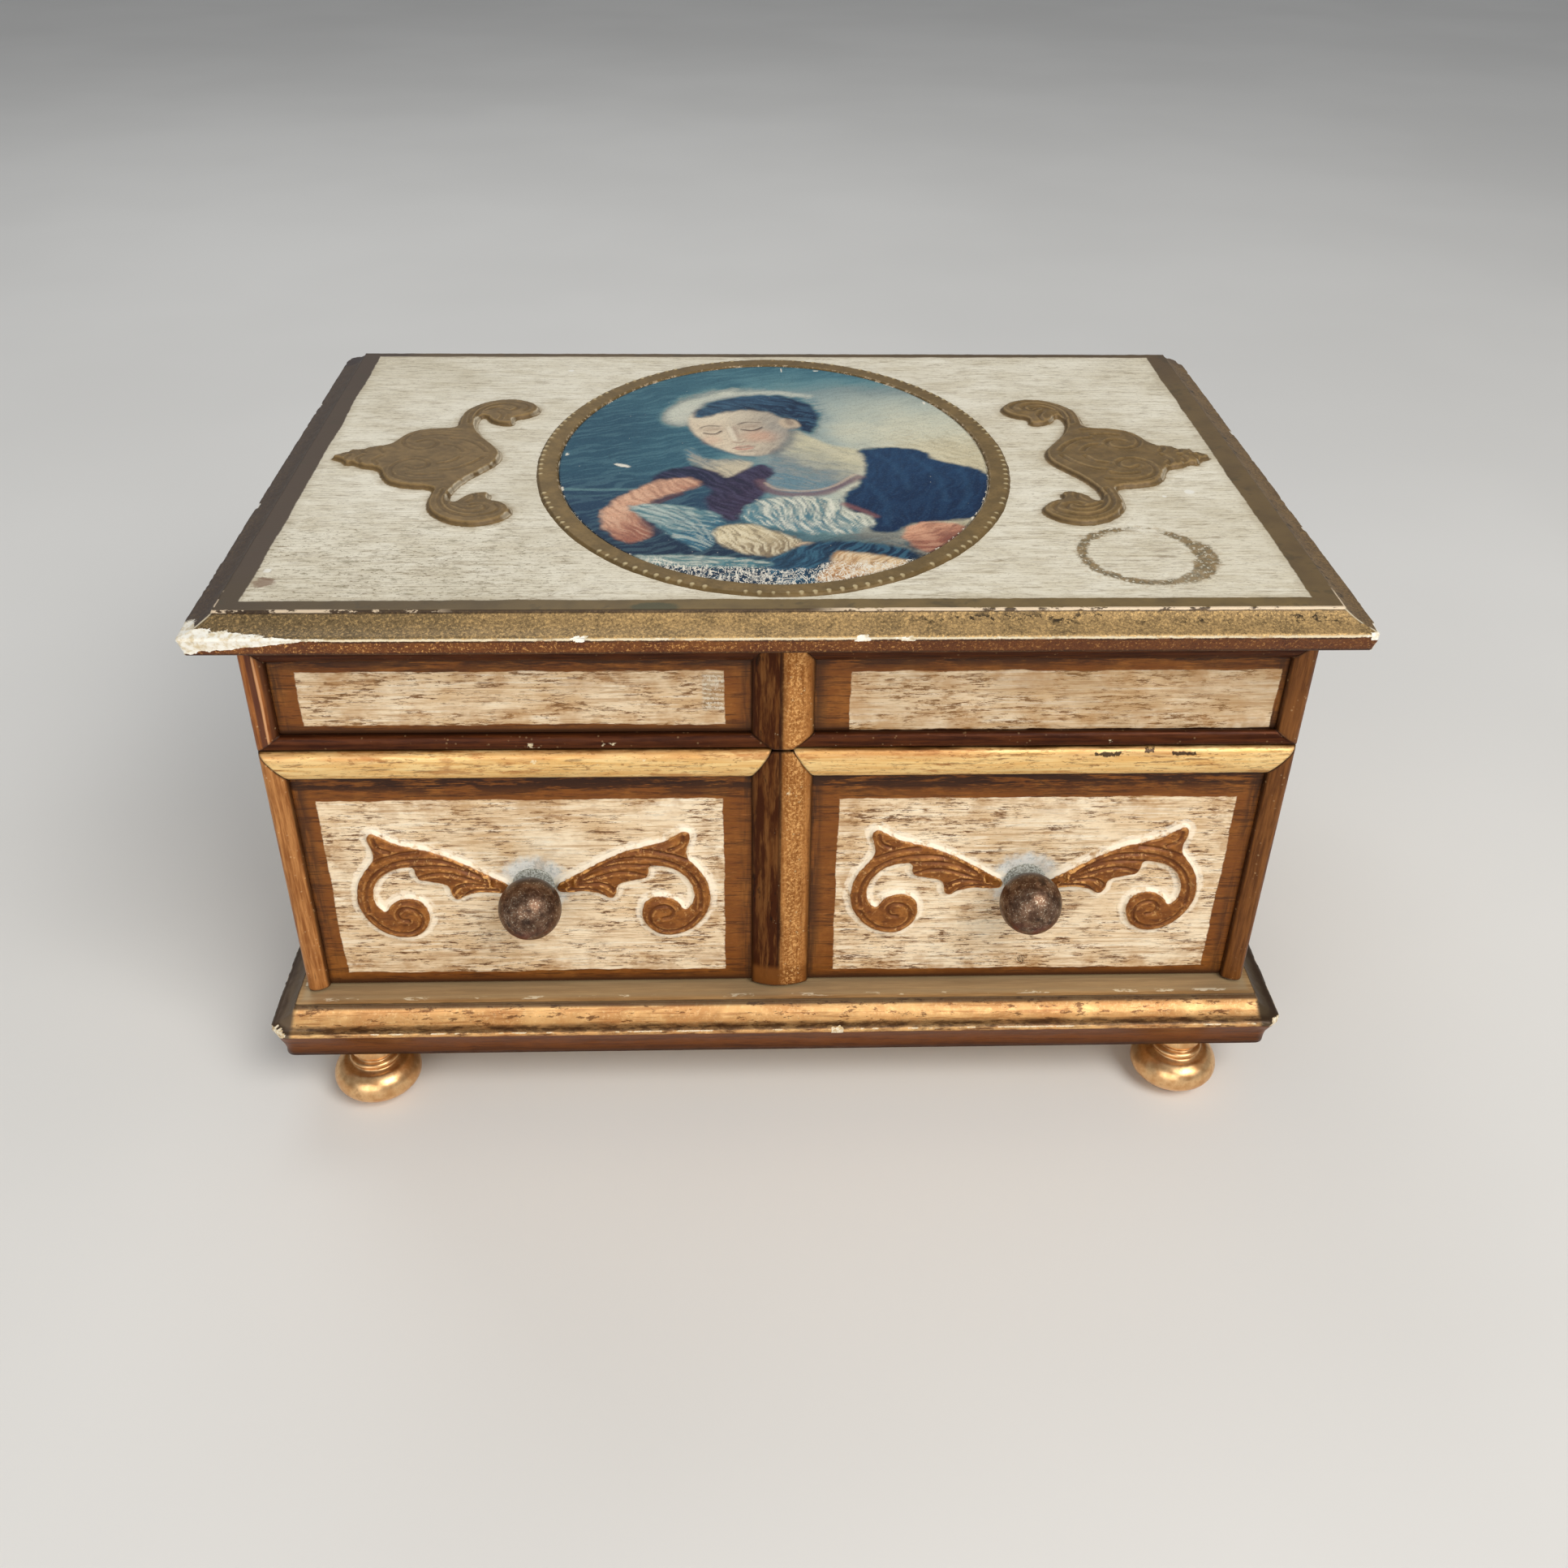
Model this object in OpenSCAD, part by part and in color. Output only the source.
// Small painted jewellery chest: hinged lid over a shallow compartment, one wide drawer below.
// Millimetres, Z up, front towards -Y. Origin: centre of the bounding box, at floor level.
// Inside this file depth is first measured from the face of the front boards (P = 0, back is +).

/* [Case] */
// outside width of the case boards
case_w = 200; // [180:1:240]
// depth of the case, front face to back face
case_d = 135; // [120:1:180]
// thickness of the side, back and front boards
board_t = 6; // [5:0.5:7]
// height from the base to the seam above the drawer
seam_h = 60.4; // [54:0.2:80]
// height of the fixed upper section, seam to case top
upper_h = 24.3; // [22:0.1:40]
// thickness of the compartment floor
floor_t = 3; // [2.5:0.5:4]

/* [Base] */
// thickness of the base board
base_t = 11.5; // [10.5:0.5:14]
// flat ledge in front of the front boards
ledge_front = 6.4; // [5:0.1:8]
// flat ledge beside and behind the case
ledge_side = 2.1; // [1.5:0.1:4]
// how far the rounded edge stands out from the ledge
ovolo_out = 5.1; // [4:0.1:6]

/* [Lid] */
// thickness of the lid board
lid_t = 6.6; // [6:0.1:8]
// half width of the lid at its sharp edge
lid_half_w = 107.6; // [107.6:0.1:109]
// lid overhang in front of the front boards
lid_front = 9.4; // [8:0.1:11]
// lid overhang behind the case
lid_back = 6.8; // [6:0.1:7.5]
// width of the sloping edge round the flat top
chamfer_w = 5.5; // [4.5:0.1:6.5]

/* [Feet and knobs] */
// height of a foot
foot_h = 13.5; // [13:0.5:16]
// greatest radius of a foot
foot_r = 9; // [8:0.1:9]
// distance of a foot's axis from the middle, sideways
foot_x = 87.2; // [80:0.1:92]
// distance of a foot's axis inside the base's edge
foot_in = 7.2; // [6.8:0.1:12]
// radius of a ball knob
knob_r = 6.3; // [5.5:0.1:6.8]
// distance of a knob from the middle
knob_x = 50.5; // [44:0.1:52]

/* [Show] */
// the piece to draw

/* [Hidden] */

$fn = 64;
eps = 0.01;

// levels
z_base = foot_h + base_t;
z_seam = z_base + seam_h;
z_top = z_seam + upper_h;
lid_gap = 0.2;
z_lid = z_top + lid_gap;

// drawer fit
seam_gap = 0.4;
base_gap = 0.5;
front_gap = 0.3;
side_gap = 0.4;
run_gap = 0.2;
drawer_wall = 5;
drawer_wall_h = 50;
drawer_back_drop = 4;
lining_t = 1.6;
lining_gap = 0.4;
floor_lift = 0.5;
drawer_len = 115;
drawer_floor_t = 3;
drawer_runner = 2;
dfront_t = board_t - front_gap;
z_drawer_lo = z_base + base_gap;
z_drawer_hi = z_seam - seam_gap;
inner_w = case_w - 2 * board_t;
drawer_half = inner_w / 2 - side_gap;

// applied mouldings: widths, and heights above the boards they are glued to
stile_w = 4.4;
centre_half = 6;
rail_h = 6.6;
upper_bottom_h = 2.9;
upper_top_h = 5.4;
ridge_at = 0.69;
edge_in = 1.1;
ridge = 2.6;
edge_out = 1.6;
small_ridge = 1.9;
mitre_tip = 2;
rail_dome = 0.8;

// lid and base edge shapes
lid_edge_z = 3.5;
lid_under_in = 0.95;
lid_quirk = 0.35;
lid_bulge = 0.4;
base_quirk = 0.6;
base_edge_drop = 3.8;
base_bead = 0.9;
base_under_in = 2.2;
base_bulge = 0.8;
base_under_bulge = 0.6;

// foot shape: the tier above the ball, a groove, then the collar under the base
tier_z = 8.6;
tier_r = 5.3;
groove_z = 10.4;
groove_r = 4.3;
groove_h = 0.4;
collar_r = 4.7;
foot_sink = 2.8;
foot_sink_r = 3.3;
foot_screw_bite = 7.2;
foot_head_r = 3;
head_t = 2;

// knob and screw sizes
knob_c = -7.6;
knob_neck_r = 2.8;
knob_neck_len = 4;
knob_flange_r = 3.8;
knob_flange_t = 0.7;
knob_bore = 7.5;
knob_screw_bite = 6.5;
knob_head_r = 2.9;
knob_head_t = 1.6;
knob_z = z_base + 26.3;
knob_front = knob_c - knob_r;
shank_r = 1.5;
pilot_r = 1.55;
pilot_spare = 1.3;

// hinge sizes
hinge_x = 58;
hinge_len = 24;
pin_r = 0.8;
knuckle_r = 1.6;
knuckle_gap = 0.25;
pin_clear = 0.05;
leaf_t = 0.85;
leaf_w = 5.2;
axis_p = case_d + knuckle_r + 0.1;
axis_z = z_top + lid_gap / 2;
hinge_screw_r = 0.7;
hinge_screw_x = 7.5;
hinge_head_r = 1.5;
strap_len = knuckle_r + 0.4;
leaf_in = strap_len + leaf_w;
cut_clear = 0.1;
hinge_screw_len = 6.4;
lid_screw_len = 4.6;
knuckle_clear = 0.4;

// front edge, back edge and middle of everything, front to back
base_front = ledge_front + ovolo_out;
base_back = case_d + ledge_side + ovolo_out;
base_half = case_w / 2 + ledge_side + ovolo_out;
foot_front_p = -base_front + foot_in;
foot_back_p = base_back - foot_in;
p_min = min(knob_front, foot_front_p - foot_r);
p_max = foot_back_p + foot_r;
p_mid = (p_min + p_max) / 2;

// lid decoration
lid_c = (case_d + lid_back - lid_front) / 2;
lid_half_d = (case_d + lid_back + lid_front) / 2;
z_lid_top = z_lid + lid_t;
oval_x = 50.3;
oval_y = 64.3;
oval_band = 4.6;
border_t = 0.5;
picture_t = 0.2;
relief_t = 1.3;

// ---- helpers ----

// puts a piece drawn in P coordinates into the final frame
module place() {
    translate([0, -p_mid, 0]) children();
}

// points along the arc from a to b that stands s proud of the straight line between them
function arc_points(a, b, s, n) =
    let (d = b - a, chord = norm(d), out = [d[1], -d[0]] / chord,
        r = (chord * chord / 4 + s * s) / (2 * s), c = (a + b) / 2 - out * (r - s),
        a0 = atan2(a[1] - c[1], a[0] - c[0]), a1 = atan2(b[1] - c[1], b[0] - c[0]))
    [for (i = [0:n]) c + r * [cos(a0 + (a1 - a0) * i / n), sin(a0 + (a1 - a0) * i / n)]];

// a closed outline from its right-hand half
function with_mirror(pts) =
    concat(pts, [for (i = [len(pts) - 1:-1:0]) [-pts[i][0], pts[i][1]]]);

// an outline with its corners cut once, which rounds them
function cut_corners(p) =
    [for (i = [0:len(p) - 1]) let (a = p[i], b = p[(i + 1) % len(p)])
        each [a * 0.75 + b * 0.25, a * 0.25 + b * 0.75]];

module lid_section(h) {
    polygon(with_mirror(concat([[h - lid_under_in, 0]],
        arc_points([h, lid_edge_z], [h - chamfer_w, lid_t - lid_quirk], lid_bulge, 6),
        [[h - chamfer_w, lid_t]])));
}

module base_section(h) {
    t = base_t;
    e = h - ovolo_out;
    polygon(with_mirror(concat(
        arc_points([h - base_under_in, 0], [h, t - base_edge_drop - base_bead],
            base_under_bulge, 4),
        arc_points([h, t - base_edge_drop], [e, t - base_quirk], base_bulge, 8),
        [[e, t]])));
}

// a board whose moulded edge runs round all four sides with mitred corners
module moulded_board(half_w, half_d) {
    intersection() {
        rotate([90, 0, 0]) translate([0, 0, -half_d]) linear_extrude(2 * half_d) children(0);
        rotate([90, 0, 90]) translate([0, 0, -half_w]) linear_extrude(2 * half_w) children(1);
    }
}

// height of a dome x away from its ridge, where it has fallen by drop at the distance w
function dome(x, w, drop) =
    let (r = (w * w + drop * drop) / (2 * drop)) sqrt(r * r - x * x) - r;

// moulding section: u runs from the inner edge to the outer edge, v is the height
module dome_section(w, inner, top, outer) {
    u = w * ridge_at;
    n = 9;
    polygon(concat([[0, 0]],
        [for (i = [0:n]) [u * i / n, top + dome(u - u * i / n, u, top - inner)]],
        [for (i = [1:n]) [u + (w - u) * i / n, top + dome((w - u) * i / n, w - u, top - outer)]],
        [[w, 0]]));
}

module half_round_section() {
    n = 9;
    polygon(concat([[-centre_half, 0]],
        [for (i = [-n:n]) [centre_half * i / n,
            ridge + dome(centre_half * i / n, centre_half, ridge - edge_in)]],
        [[centre_half, 0]]));
}

// a prism through the mouldings whose outline on the front is the given polygon
module front_mask(points) {
    rotate([90, 0, 0]) linear_extrude(5) polygon(points);
}

// one side stile between the heights on its outer and its inner edge
module side_stile(s, z_out_lo, z_in_lo, z_in_hi, z_out_hi) {
    xo = s * case_w / 2;
    xi = s * (case_w / 2 - stile_w);
    place() intersection() {
        translate([xi, 0, z_out_lo - 1]) linear_extrude(z_out_hi - z_out_lo + 2)
            mirror([s < 0 ? 1 : 0, 0]) mirror([0, 1])
            dome_section(stile_w, edge_in, ridge, edge_out);
        front_mask([[xo, z_out_lo], [xi, z_in_lo], [xi, z_in_hi], [xo, z_out_hi]]);
    }
}

// one rail; z_in is its inner edge (next to the field), z_out its outer edge
module rail(s, z_in, z_out, top) {
    up = z_out > z_in ? 0 : 1;
    w = abs(z_out - z_in);
    xo = s * case_w / 2;
    place() intersection() {
        translate([min(0, xo), 0, z_in]) mirror([0, 0, up]) rotate([90, 0, 90])
            linear_extrude(case_w / 2) rotate(90)
            dome_section(w, min(edge_in, top - rail_dome), top, edge_out);
        front_mask([[xo, z_out], [s * (case_w / 2 - stile_w), z_in],
            [s * centre_half, z_in], [s * mitre_tip, z_out]]);
    }
}

// half of the outline of a lid scroll, from the finial tip to the middle of its inner side;
// left-hand version, measured from the middle of the lid
LID_SCROLL = [[-96.5, 0], [-93, 2], [-92, 4.2], [-90.5, 3.6], [-88, 5.6], [-84.5, 6.4],
    [-83, 11], [-81, 14.5], [-76.5, 16.4], [-71, 16.8], [-71.5, 21], [-71.3, 26.5],
    [-69.2, 30.5], [-65.5, 34], [-61, 35.2], [-56.8, 33.8], [-53.8, 30.5], [-53.6, 27],
    [-56, 24], [-59.2, 23], [-58.6, 19.2], [-62, 19.3], [-64.6, 21.5], [-65.6, 24.2],
    [-67, 23.5], [-67.2, 18.8], [-65.4, 13], [-62.5, 8.2], [-60, 4.2], [-59, 0]];

// outline of the scrollwork on the left of a knob, measured from the knob
DRAWER_SCROLL = [[-31.2, 14.4], [-32.8, 12.8], [-31.2, 8], [-33.6, 5], [-35.6, 1.8],
    [-36.4, -2], [-36.2, -5.4], [-34.7, -8.8], [-32.2, -11.6], [-29.2, -13], [-26, -13.2],
    [-23.3, -11.6], [-21.7, -8.8], [-21.6, -5.6], [-22.8, -3.3], [-25.1, -2.2],
    [-27.8, -2.6], [-29.8, -4.1], [-30.7, -6.2], [-32.2, -4.2], [-32.6, -1.6],
    [-31.6, 1.4], [-29.4, 3.9], [-26.4, 5], [-23.8, 5.2], [-23.9, 3.4], [-23.2, 1.9],
    [-20.4, 1.3], [-17.2, 0.6], [-17.1, -2], [-15.8, -3.5], [-13.6, -2], [-10.6, -1],
    [-6.6, -1.1], [-6.2, 0.5], [-8.8, 2.2], [-11, 4.8], [-15.4, 7.6], [-19.9, 9.6],
    [-22.6, 10.3], [-26.8, 11.5], [-29.3, 13.2]];

module lid_scroll_outline() {
    n = len(LID_SCROLL);
    polygon(cut_corners(concat(LID_SCROLL,
        [for (i = [n - 2:-1:1]) [LID_SCROLL[i][0], -LID_SCROLL[i][1]]])));
}

module lid_scroll(s) {
    place() translate([0, lid_c, z_lid_top]) mirror([s > 0 ? 1 : 0, 0, 0])
        linear_extrude(relief_t) lid_scroll_outline();
}

module drawer_scroll_outline() {
    polygon(cut_corners(DRAWER_SCROLL));
}

module drawer_scrolls(x) {
    place() translate([x, 0, knob_z]) rotate([90, 0, 0]) linear_extrude(relief_t) {
        drawer_scroll_outline();
        mirror([1, 0]) drawer_scroll_outline();
    }
}

module foot_shape() {
    ball = foot_r / 2;
    difference() {
        rotate_extrude() {
            square([ball, 2 * ball]);
            intersection() {
                translate([ball, ball]) circle(r = ball);
                square([foot_r + 1, 2 * ball]);
            }
            translate([0, tier_z]) square([tier_r, groove_z - tier_z]);
            translate([0, groove_z - eps]) square([groove_r, groove_h + 2 * eps]);
            translate([0, groove_z + groove_h]) square([collar_r, foot_h - groove_z - groove_h]);
        }
        translate([0, 0, -1]) cylinder(r = pilot_r, h = foot_h + 2);
        translate([0, 0, -1]) cylinder(r = foot_sink_r, h = 1 + foot_sink);
    }
}

module foot(x, p) {
    place() translate([x, p, 0]) foot_shape();
}

module foot_positions() {
    for (x = [-foot_x, foot_x], p = [foot_front_p, foot_back_p])
        translate([x, p, 0]) children();
}

module ellipse(a, b) {
    polygon([for (i = [0:95]) [a * cos(i * 3.75), b * sin(i * 3.75)]]);
}

module knob(x) {
    place() translate([x, 0, knob_z]) difference() {
        union() {
            translate([0, knob_c, 0]) sphere(r = knob_r, $fn = 96);
            rotate([90, 0, 0]) cylinder(r = knob_neck_r, h = knob_neck_len);
            rotate([90, 0, 0]) cylinder(r = knob_flange_r, h = knob_flange_t);
        }
        rotate([90, 0, 0]) translate([0, 0, -1]) cylinder(r = pilot_r, h = 1 + knob_bore);
    }
}

// knuckle number k of 3, counted along the hinge
module knuckle(k) {
    seg = hinge_len / 3;
    translate([-hinge_len / 2 + k * seg + (k > 0 ? knuckle_gap / 2 : 0), 0, 0])
        rotate([0, 90, 0])
        cylinder(r = knuckle_r, h = seg - knuckle_gap / (k == 1 ? 1 : 2));
}

// strap from the leaf to a knuckle; zl is the leaf's underside relative to the axis
module strap(k, zl) {
    seg = hinge_len / 3;
    translate([-hinge_len / 2 + k * seg + (k > 0 ? knuckle_gap / 2 : 0),
        -strap_len, zl])
        cube([seg - knuckle_gap / (k == 1 ? 1 : 2), strap_len, leaf_t]);
}

// the cone of a countersunk head, as deep as a leaf; wide end down or up
module screw_head(down) {
    cylinder(r1 = down ? hinge_head_r : hinge_screw_r, r2 = down ? hinge_screw_r : hinge_head_r,
        h = leaf_t);
}

module leaf(x, zl, ks) {
    place() translate([x, axis_p, axis_z]) difference() {
        union() {
            translate([-hinge_len / 2, -leaf_in, zl])
                cube([hinge_len, leaf_w, leaf_t]);
            for (k = ks) {
                knuckle(k);
                strap(k, zl);
            }
        }
        rotate([0, 90, 0]) cylinder(r = pin_r + pin_clear, h = hinge_len + 2, center = true);
        for (dx = [-hinge_screw_x, hinge_screw_x])
            translate([dx, leaf_w / 2 - leaf_in, zl])
                screw_head(zl > 0);
    }
}

module hinge_screw_positions() {
    for (x = [-hinge_x, hinge_x], dx = [-hinge_screw_x, hinge_screw_x])
        translate([x + dx, axis_p + leaf_w / 2 - leaf_in, axis_z]) children();
}

// room for the knuckles, cut from the lid's underside
module knuckle_room() {
    for (x = [-hinge_x, hinge_x])
        translate([x - hinge_len / 2 - knuckle_clear, axis_p - knuckle_r - 2 * knuckle_clear,
            z_lid - 1])
            cube([hinge_len + 2 * knuckle_clear, 2 * knuckle_r + 3 * knuckle_clear,
                1 + knuckle_r + knuckle_clear]);
}

// ---- case ----

module base_board() {
    color([0.72, 0.52, 0.28]) place() difference() {
        translate([0, (base_back - base_front) / 2, foot_h])
            moulded_board(base_half, (base_back + base_front) / 2) {
                base_section(base_half);
                base_section((base_back + base_front) / 2);
            }
        foot_positions() translate([0, 0, foot_h - 1])
            cylinder(r = pilot_r, h = 1 + foot_screw_bite + pilot_spare);
    }
}

module foot_front_left() {
    color([0.8, 0.62, 0.3]) foot(-foot_x, foot_front_p);
}

module foot_front_right() {
    color([0.8, 0.62, 0.3]) foot(foot_x, foot_front_p);
}

module foot_rear_left() {
    color([0.8, 0.62, 0.3]) foot(-foot_x, foot_back_p);
}

module foot_rear_right() {
    color([0.8, 0.62, 0.3]) foot(foot_x, foot_back_p);
}

module foot_screws() {
    color([0.6, 0.6, 0.6]) place() foot_positions() union() {
        translate([0, 0, foot_sink - head_t]) cylinder(r = foot_head_r, h = head_t);
        translate([0, 0, foot_sink - eps]) cylinder(r = shank_r,
            h = foot_h - foot_sink + foot_screw_bite);
    }
}

module side_board(s) {
    x = s > 0 ? case_w / 2 - board_t : -case_w / 2;
    place() translate([x, board_t, z_base]) cube([board_t, case_d - 2 * board_t, z_top - z_base]);
}

module side_left() {
    color([0.6, 0.5, 0.33]) side_board(-1);
}

module side_right() {
    color([0.6, 0.5, 0.33]) side_board(1);
}

module back_panel() {
    color([0.5, 0.38, 0.22]) place() difference() {
        translate([-case_w / 2, case_d - board_t, z_base])
            cube([case_w, board_t, z_top - z_base]);
        for (x = [-hinge_x, hinge_x])
            translate([x - hinge_len / 2 - cut_clear, axis_p - leaf_in - cut_clear,
                axis_z - lid_gap / 2 - leaf_t])
                cube([hinge_len + 2 * cut_clear, board_t, board_t]);
        hinge_screw_positions() translate([0, 0, -hinge_screw_len - pilot_spare])
            cylinder(r = hinge_screw_r + pin_clear, h = hinge_screw_len + pilot_spare);
    }
}

module front_panel() {
    color([0.86, 0.8, 0.68]) place() translate([-case_w / 2, 0, z_seam])
        cube([case_w, board_t, upper_h]);
}

module compartment_floor() {
    color([0.55, 0.42, 0.26]) place() translate([-inner_w / 2, board_t, z_seam + floor_lift])
        cube([inner_w, case_d - 2 * board_t, floor_t]);
}

module upper_stile_left() {
    color([0.72, 0.5, 0.25])
        side_stile(-1, z_seam, z_seam + upper_bottom_h, z_top - upper_top_h, z_top);
}

module upper_stile_right() {
    color([0.72, 0.5, 0.25])
        side_stile(1, z_seam, z_seam + upper_bottom_h, z_top - upper_top_h, z_top);
}

module upper_stile_centre() {
    lo = z_seam + upper_bottom_h;
    hi = z_top - upper_top_h;
    color([0.72, 0.5, 0.25]) place() intersection() {
        translate([0, 0, z_seam - 1]) linear_extrude(upper_h + 2)
            mirror([0, 1]) half_round_section();
        front_mask([[-mitre_tip, z_seam], [mitre_tip, z_seam], [centre_half, lo],
            [centre_half, hi], [mitre_tip, z_top], [-mitre_tip, z_top],
            [-centre_half, hi], [-centre_half, lo]]);
    }
}

module upper_bottom_rail_left() {
    color([0.45, 0.33, 0.16]) rail(-1, z_seam + upper_bottom_h, z_seam, small_ridge);
}

module upper_bottom_rail_right() {
    color([0.45, 0.33, 0.16]) rail(1, z_seam + upper_bottom_h, z_seam, small_ridge);
}

module upper_top_rail_left() {
    color([0.45, 0.33, 0.16]) rail(-1, z_top - upper_top_h, z_top, ridge);
}

module upper_top_rail_right() {
    color([0.45, 0.33, 0.16]) rail(1, z_top - upper_top_h, z_top, ridge);
}

module compartment_lining() {
    color([0.42, 0.06, 0.08]) place()
        translate([-inner_w / 2 + lining_gap, board_t + lining_gap, z_seam + floor_lift + floor_t])
        cube([inner_w - 2 * lining_gap, case_d - 2 * board_t - 2 * lining_gap, lining_t]);
}

module hinge_case_leaf_left() {
    color([0.75, 0.6, 0.3]) leaf(-hinge_x, -lid_gap / 2 - leaf_t, [0, 2]);
}

module hinge_case_leaf_right() {
    color([0.75, 0.6, 0.3]) leaf(hinge_x, -lid_gap / 2 - leaf_t, [0, 2]);
}

module hinge_pins() {
    color([0.7, 0.55, 0.28]) place() for (x = [-hinge_x, hinge_x])
        translate([x, axis_p, axis_z]) rotate([0, 90, 0])
            cylinder(r = pin_r, h = hinge_len + 0.6, center = true);
}

module hinge_case_screws() {
    color([0.75, 0.6, 0.3]) place() hinge_screw_positions() union() {
        translate([0, 0, -hinge_screw_len - lid_gap / 2])
            cylinder(r = hinge_screw_r, h = hinge_screw_len);
        translate([0, 0, -lid_gap / 2 - leaf_t]) screw_head(false);
    }
}

// ---- lid ----

module lid_board() {
    color([0.86, 0.8, 0.68]) place() difference() {
        translate([0, lid_c, z_lid]) moulded_board(lid_half_w, lid_half_d) {
            lid_section(lid_half_w);
            lid_section(lid_half_d);
        }
        for (x = [-hinge_x, hinge_x])
            translate([x - hinge_len / 2 - cut_clear, axis_p - leaf_in - cut_clear,
                axis_z - 1])
                cube([hinge_len + 2 * cut_clear, leaf_in, 1 + lid_gap / 2 + leaf_t]);
        knuckle_room();
        hinge_screw_positions() cylinder(r = hinge_screw_r + pin_clear, h = lid_screw_len + 0.4);
    }
}

module lid_picture() {
    color([0.3, 0.45, 0.5]) place() translate([0, lid_c, z_lid_top])
        linear_extrude(picture_t) ellipse(oval_x - oval_band - 0.1, oval_y - oval_band - 0.1);
}

module lid_picture_border() {
    color([0.6, 0.47, 0.2]) place() translate([0, lid_c, z_lid_top])
        linear_extrude(border_t) difference() {
            ellipse(oval_x, oval_y);
            ellipse(oval_x - oval_band, oval_y - oval_band);
        }
}

module lid_scroll_left() {
    color([0.6, 0.42, 0.2]) lid_scroll(-1);
}

module lid_scroll_right() {
    color([0.6, 0.42, 0.2]) lid_scroll(1);
}

module hinge_lid_leaf_left() {
    color([0.75, 0.6, 0.3]) leaf(-hinge_x, lid_gap / 2, [1]);
}

module hinge_lid_leaf_right() {
    color([0.75, 0.6, 0.3]) leaf(hinge_x, lid_gap / 2, [1]);
}

module hinge_lid_screws() {
    color([0.75, 0.6, 0.3]) place() hinge_screw_positions() union() {
        translate([0, 0, lid_gap / 2]) cylinder(r = hinge_screw_r, h = lid_screw_len);
        translate([0, 0, lid_gap / 2]) screw_head(true);
    }
}

// ---- drawer ----

module drawer_front() {
    color([0.86, 0.8, 0.68]) place() difference() {
        translate([-case_w / 2, 0, z_drawer_lo])
            cube([case_w, dfront_t, z_drawer_hi - z_drawer_lo]);
        for (x = [-knob_x, knob_x])
            translate([x, -1, knob_z]) rotate([-90, 0, 0]) cylinder(r = pilot_r, h = board_t + 2);
    }
}

module drawer_side(s) {
    x = s > 0 ? drawer_half - drawer_wall : -drawer_half;
    place() translate([x, dfront_t, z_base + run_gap])
        cube([drawer_wall, drawer_len, drawer_wall_h]);
}

module drawer_side_left() {
    color([0.7, 0.55, 0.35]) drawer_side(-1);
}

module drawer_side_right() {
    color([0.7, 0.55, 0.35]) drawer_side(1);
}

module drawer_back() {
    w = drawer_half - drawer_wall;
    color([0.7, 0.55, 0.35]) place()
        translate([-w, dfront_t + drawer_len - drawer_wall, z_base + run_gap])
        cube([2 * w, drawer_wall, drawer_wall_h - drawer_back_drop]);
}

module drawer_bottom() {
    w = drawer_half - drawer_wall;
    color([0.66, 0.52, 0.34]) place()
        translate([-w, dfront_t, z_base + run_gap + drawer_runner])
        cube([2 * w, drawer_len - drawer_wall, drawer_floor_t]);
}

module drawer_stile_left() {
    color([0.72, 0.5, 0.25])
        side_stile(-1, z_drawer_lo, z_drawer_lo, z_drawer_hi - rail_h, z_drawer_hi);
}

module drawer_stile_right() {
    color([0.72, 0.5, 0.25])
        side_stile(1, z_drawer_lo, z_drawer_lo, z_drawer_hi - rail_h, z_drawer_hi);
}

module drawer_stile_centre() {
    lo = z_drawer_lo;
    hi = z_drawer_hi - rail_h;
    color([0.72, 0.5, 0.25]) place() intersection() {
        translate([0, 0, lo - 1]) linear_extrude(z_drawer_hi - lo + 2)
            mirror([0, 1]) half_round_section();
        front_mask([[-centre_half, lo], [centre_half, lo], [centre_half, hi],
            [mitre_tip, z_drawer_hi], [-mitre_tip, z_drawer_hi], [-centre_half, hi]]);
    }
}

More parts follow.
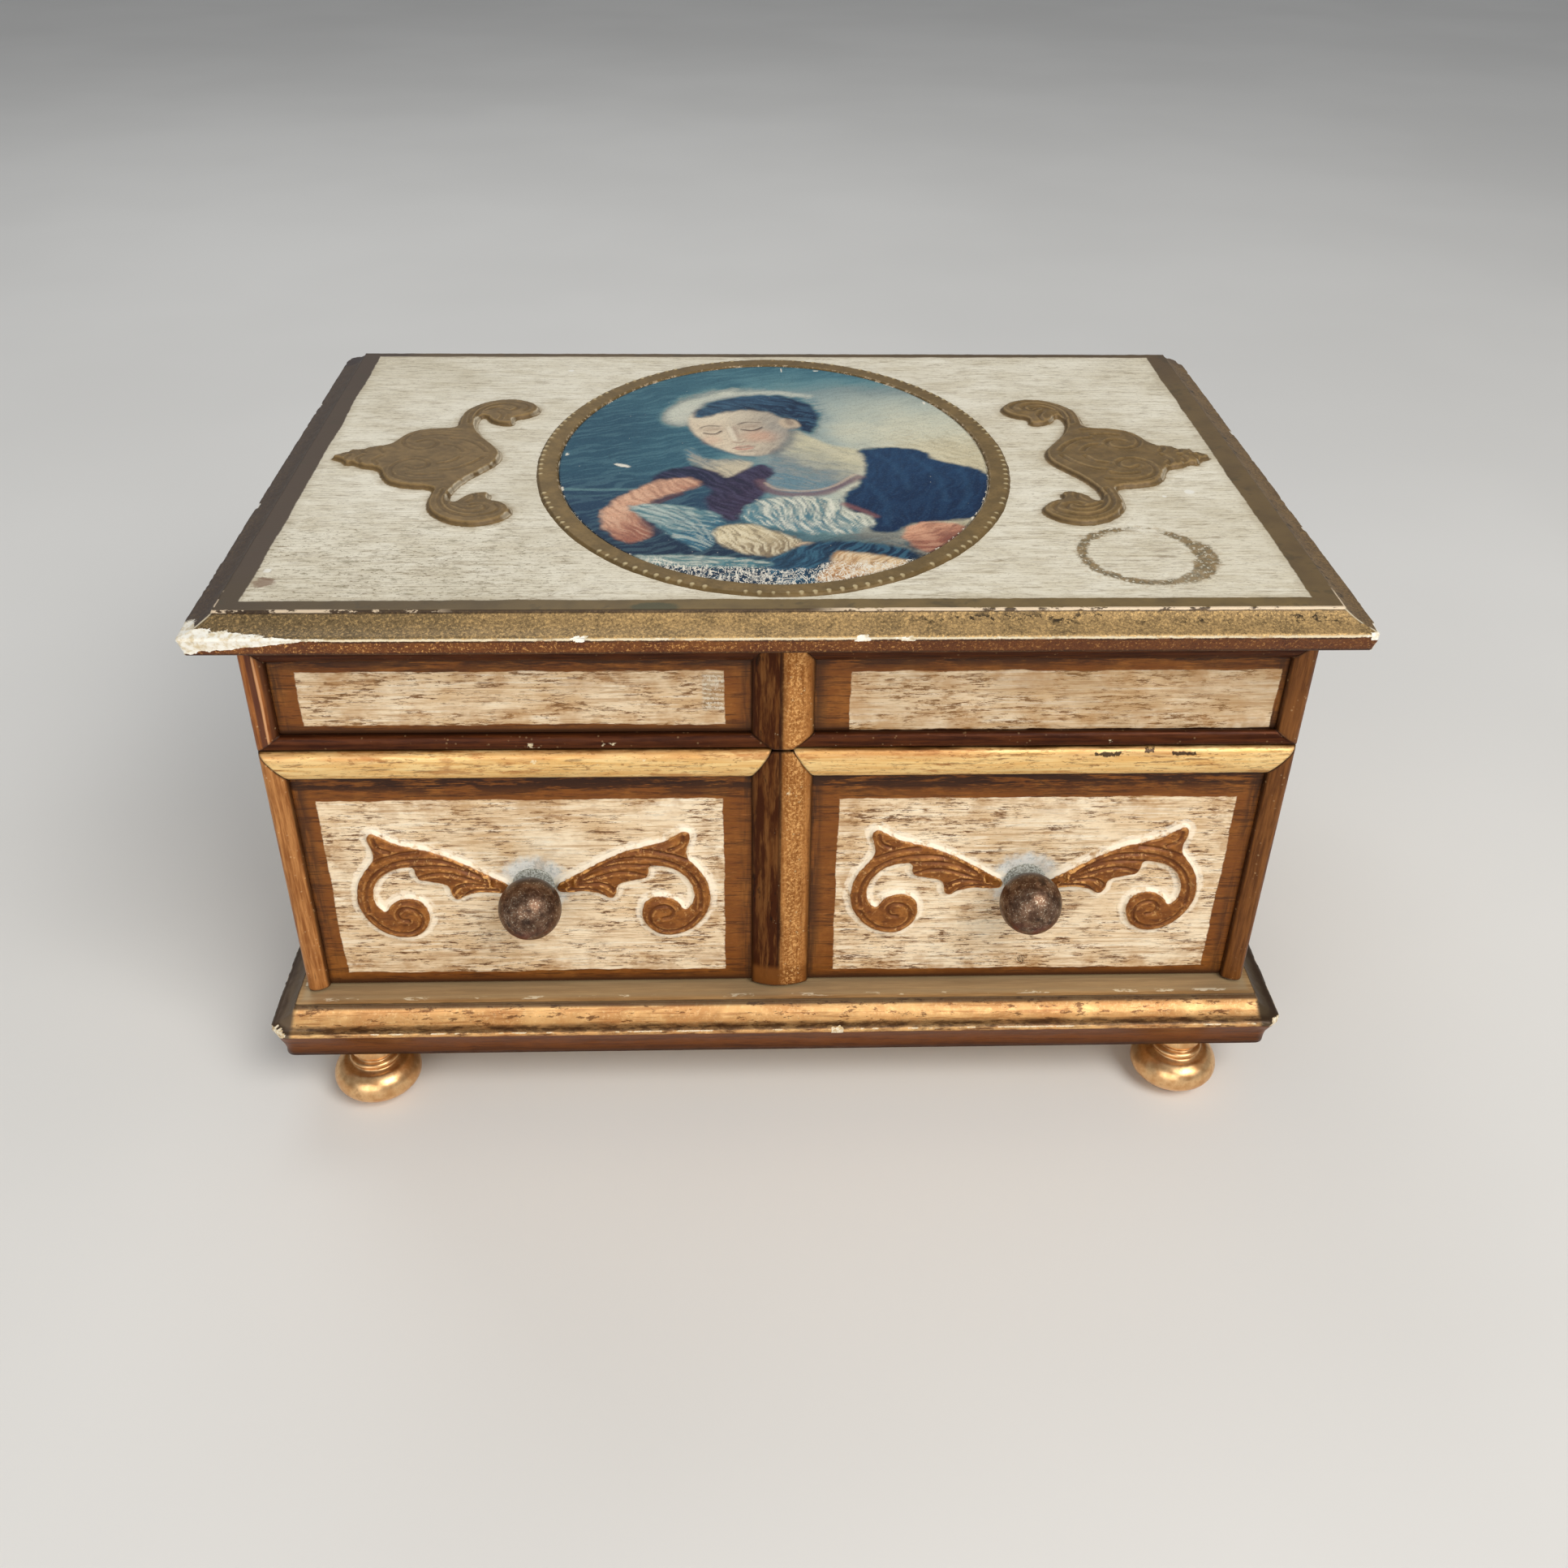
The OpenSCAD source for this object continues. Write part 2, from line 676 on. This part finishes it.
module drawer_rail_left() {
    color([0.85, 0.68, 0.42]) rail(-1, z_drawer_hi - rail_h, z_drawer_hi, ridge);
}

module drawer_rail_right() {
    color([0.85, 0.68, 0.42]) rail(1, z_drawer_hi - rail_h, z_drawer_hi, ridge);
}

module knob_left() {
    color([0.3, 0.25, 0.2]) knob(-knob_x);
}

module knob_right() {
    color([0.3, 0.25, 0.2]) knob(knob_x);
}

module knob_screws() {
    color([0.6, 0.6, 0.6]) place() for (x = [-knob_x, knob_x])
        translate([x, dfront_t, knob_z]) rotate([90, 0, 0]) union() {
            translate([0, 0, -knob_head_t]) cylinder(r = knob_head_r, h = knob_head_t);
            translate([0, 0, -eps]) cylinder(r = shank_r, h = dfront_t + knob_screw_bite);
        }
}

module drawer_scrolls_left() {
    color([0.6, 0.42, 0.2]) drawer_scrolls(-knob_x);
}

module drawer_scrolls_right() {
    color([0.6, 0.42, 0.2]) drawer_scrolls(knob_x);
}

module drawer_lining() {
    w = drawer_half - drawer_wall - lining_gap;
    color([0.42, 0.06, 0.08]) place()
        translate([-w, dfront_t + lining_gap,
            z_base + run_gap + drawer_runner + drawer_floor_t])
        cube([2 * w, drawer_len - drawer_wall - 2 * lining_gap, lining_t]);
}

base_board();
foot_front_left();
foot_front_right();
foot_rear_left();
foot_rear_right();
foot_screws();
side_left();
side_right();
back_panel();
front_panel();
compartment_floor();
upper_stile_left();
upper_stile_right();
upper_stile_centre();
upper_bottom_rail_left();
upper_bottom_rail_right();
upper_top_rail_left();
upper_top_rail_right();
compartment_lining();
hinge_case_leaf_left();
hinge_case_leaf_right();
hinge_pins();
hinge_case_screws();
lid_board();
lid_picture();
lid_picture_border();
lid_scroll_left();
lid_scroll_right();
hinge_lid_leaf_left();
hinge_lid_leaf_right();
hinge_lid_screws();
drawer_front();
drawer_side_left();
drawer_side_right();
drawer_back();
drawer_bottom();
drawer_stile_left();
drawer_stile_right();
drawer_stile_centre();
drawer_rail_left();
drawer_rail_right();
knob_left();
knob_right();
knob_screws();
drawer_scrolls_left();
drawer_scrolls_right();
drawer_lining();
